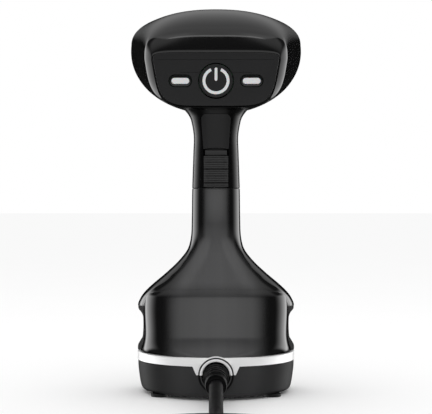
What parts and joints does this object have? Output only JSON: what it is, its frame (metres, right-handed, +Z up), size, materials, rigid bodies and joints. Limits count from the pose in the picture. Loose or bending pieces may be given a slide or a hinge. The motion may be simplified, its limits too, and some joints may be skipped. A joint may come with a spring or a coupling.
{
  "type": "garment steamer",
  "caption": "Hand-held garment steamer that stands on its base: oval head with steam plate, waisted handle, slide-out water tank and mains cord.",
  "frame": {"origin": "on the floor under the middle of the footprint, measured without the cord", "axes": "+Z up along the handle, +Y towards the steam plate, -Y towards the user, the control panel and the cord outlet, +X to the user's right"},
  "size_m": [0.1583, 0.435, 0.32],
  "materials": {
    "gloss_black": "gloss",
    "satin_black": "satin",
    "matte_black": "matte",
    "panel_grey": "satin",
    "smoked_clear": "gloss",
    "rubber": "matte",
    "bright_trim": "satin",
    "white_lens": "satin",
    "plate_steel": "polished",
    "cast_aluminium": "cast",
    "steel": "plain",
    "brass": "plain",
    "silicone": "translucent",
    "circuit_green": "satin",
    "ivory_plastic": "satin"
  },
  "bodies": {
    "body": {"base_deck": "satin_black", "base_housing": "satin_black", "bottom_cover": "satin_black", "bottom_screw_1": "steel", "bottom_screw_2": "steel", "bottom_screw_3": "steel", "bottom_screw_4": "steel", "chamber_inlet": "brass", "control_panel": "panel_grey", "cord_boot": "rubber", "cord_clamp": "ivory_plastic", "cord_coil": "rubber", "cord_tie": "matte_black", "foot_1": "rubber", "foot_2": "rubber", "foot_3": "rubber", "foot_4": "rubber", "front_shell": "gloss_black", "grip_strip": "matte_black", "handle_front_shell": "gloss_black", "handle_rear_shell": "gloss_black", "head_bezel": "satin_black", "head_shell": "gloss_black", "heating_element": "steel", "inlet_hose": "silicone", "left_lamp_lens": "white_lens", "left_lamp_rim": "gloss_black", "mains_cord": "rubber", "microswitch": "ivory_plastic", "outlet_ring_lower": "gloss_black", "outlet_trim_upper": "bright_trim", "panel_board": "circuit_green", "plug_blade_1": "brass", "plug_blade_2": "brass", "plug_body": "rubber", "plug_sleeve": "rubber", "power_board": "circuit_green", "power_switch": "ivory_plastic", "pump": "ivory_plastic", "rear_shell": "gloss_black", "ribbed_insert": "rubber", "right_lamp_lens": "white_lens", "right_lamp_rim": "gloss_black", "riser_hose": "silicone", "steam_chamber": "cast_aluminium", "steam_plate": "plate_steel", "thermal_fuse": "steel", "thermostat": "ivory_plastic", "trigger_pin": "steel", "trim_band": "bright_trim", "valve_socket": "rubber"},
    "power_button": {"power_button": "panel_grey", "power_symbol_ring": "white_lens", "power_symbol_bar": "white_lens"},
    "trigger": {"trigger": "satin_black"},
    "trigger_lock": {"trigger_lock": "satin_black"},
    "tank": {"water_tank": "smoked_clear", "tank_nozzle": "ivory_plastic"},
    "filler_cap": {"filler_cap": "rubber"}
  },
  "joints": [
    {"name": "power_button_press", "type": "slide", "parent": "body", "child": "power_button", "axis": [0, 1, 0], "range_m": [0, 0.001], "stiffness_N_per_m": 500, "springref_m": -0.001},
    {"name": "trigger_pull", "type": "hinge", "parent": "body", "child": "trigger", "pos_m": [0, 0.013, 0.224], "axis": [-1, 0, 0], "range_deg": [0, 8], "stiffness_Nm_per_rad": 0.6, "springref_deg": -5.73},
    {"name": "trigger_lock_slide", "type": "slide", "parent": "body", "child": "trigger_lock", "axis": [0, 0, 1], "range_m": [0, 0.004]},
    {"name": "tank_slide", "type": "slide", "parent": "body", "child": "tank", "axis": [0, 1, 0], "range_m": [0, 0.09]},
    {"name": "filler_cap_open", "type": "hinge", "parent": "tank", "child": "filler_cap", "pos_m": [0, 0.0478, 0.047], "axis": [-1, 0, 0], "range_deg": [0, 100]}
  ]
}
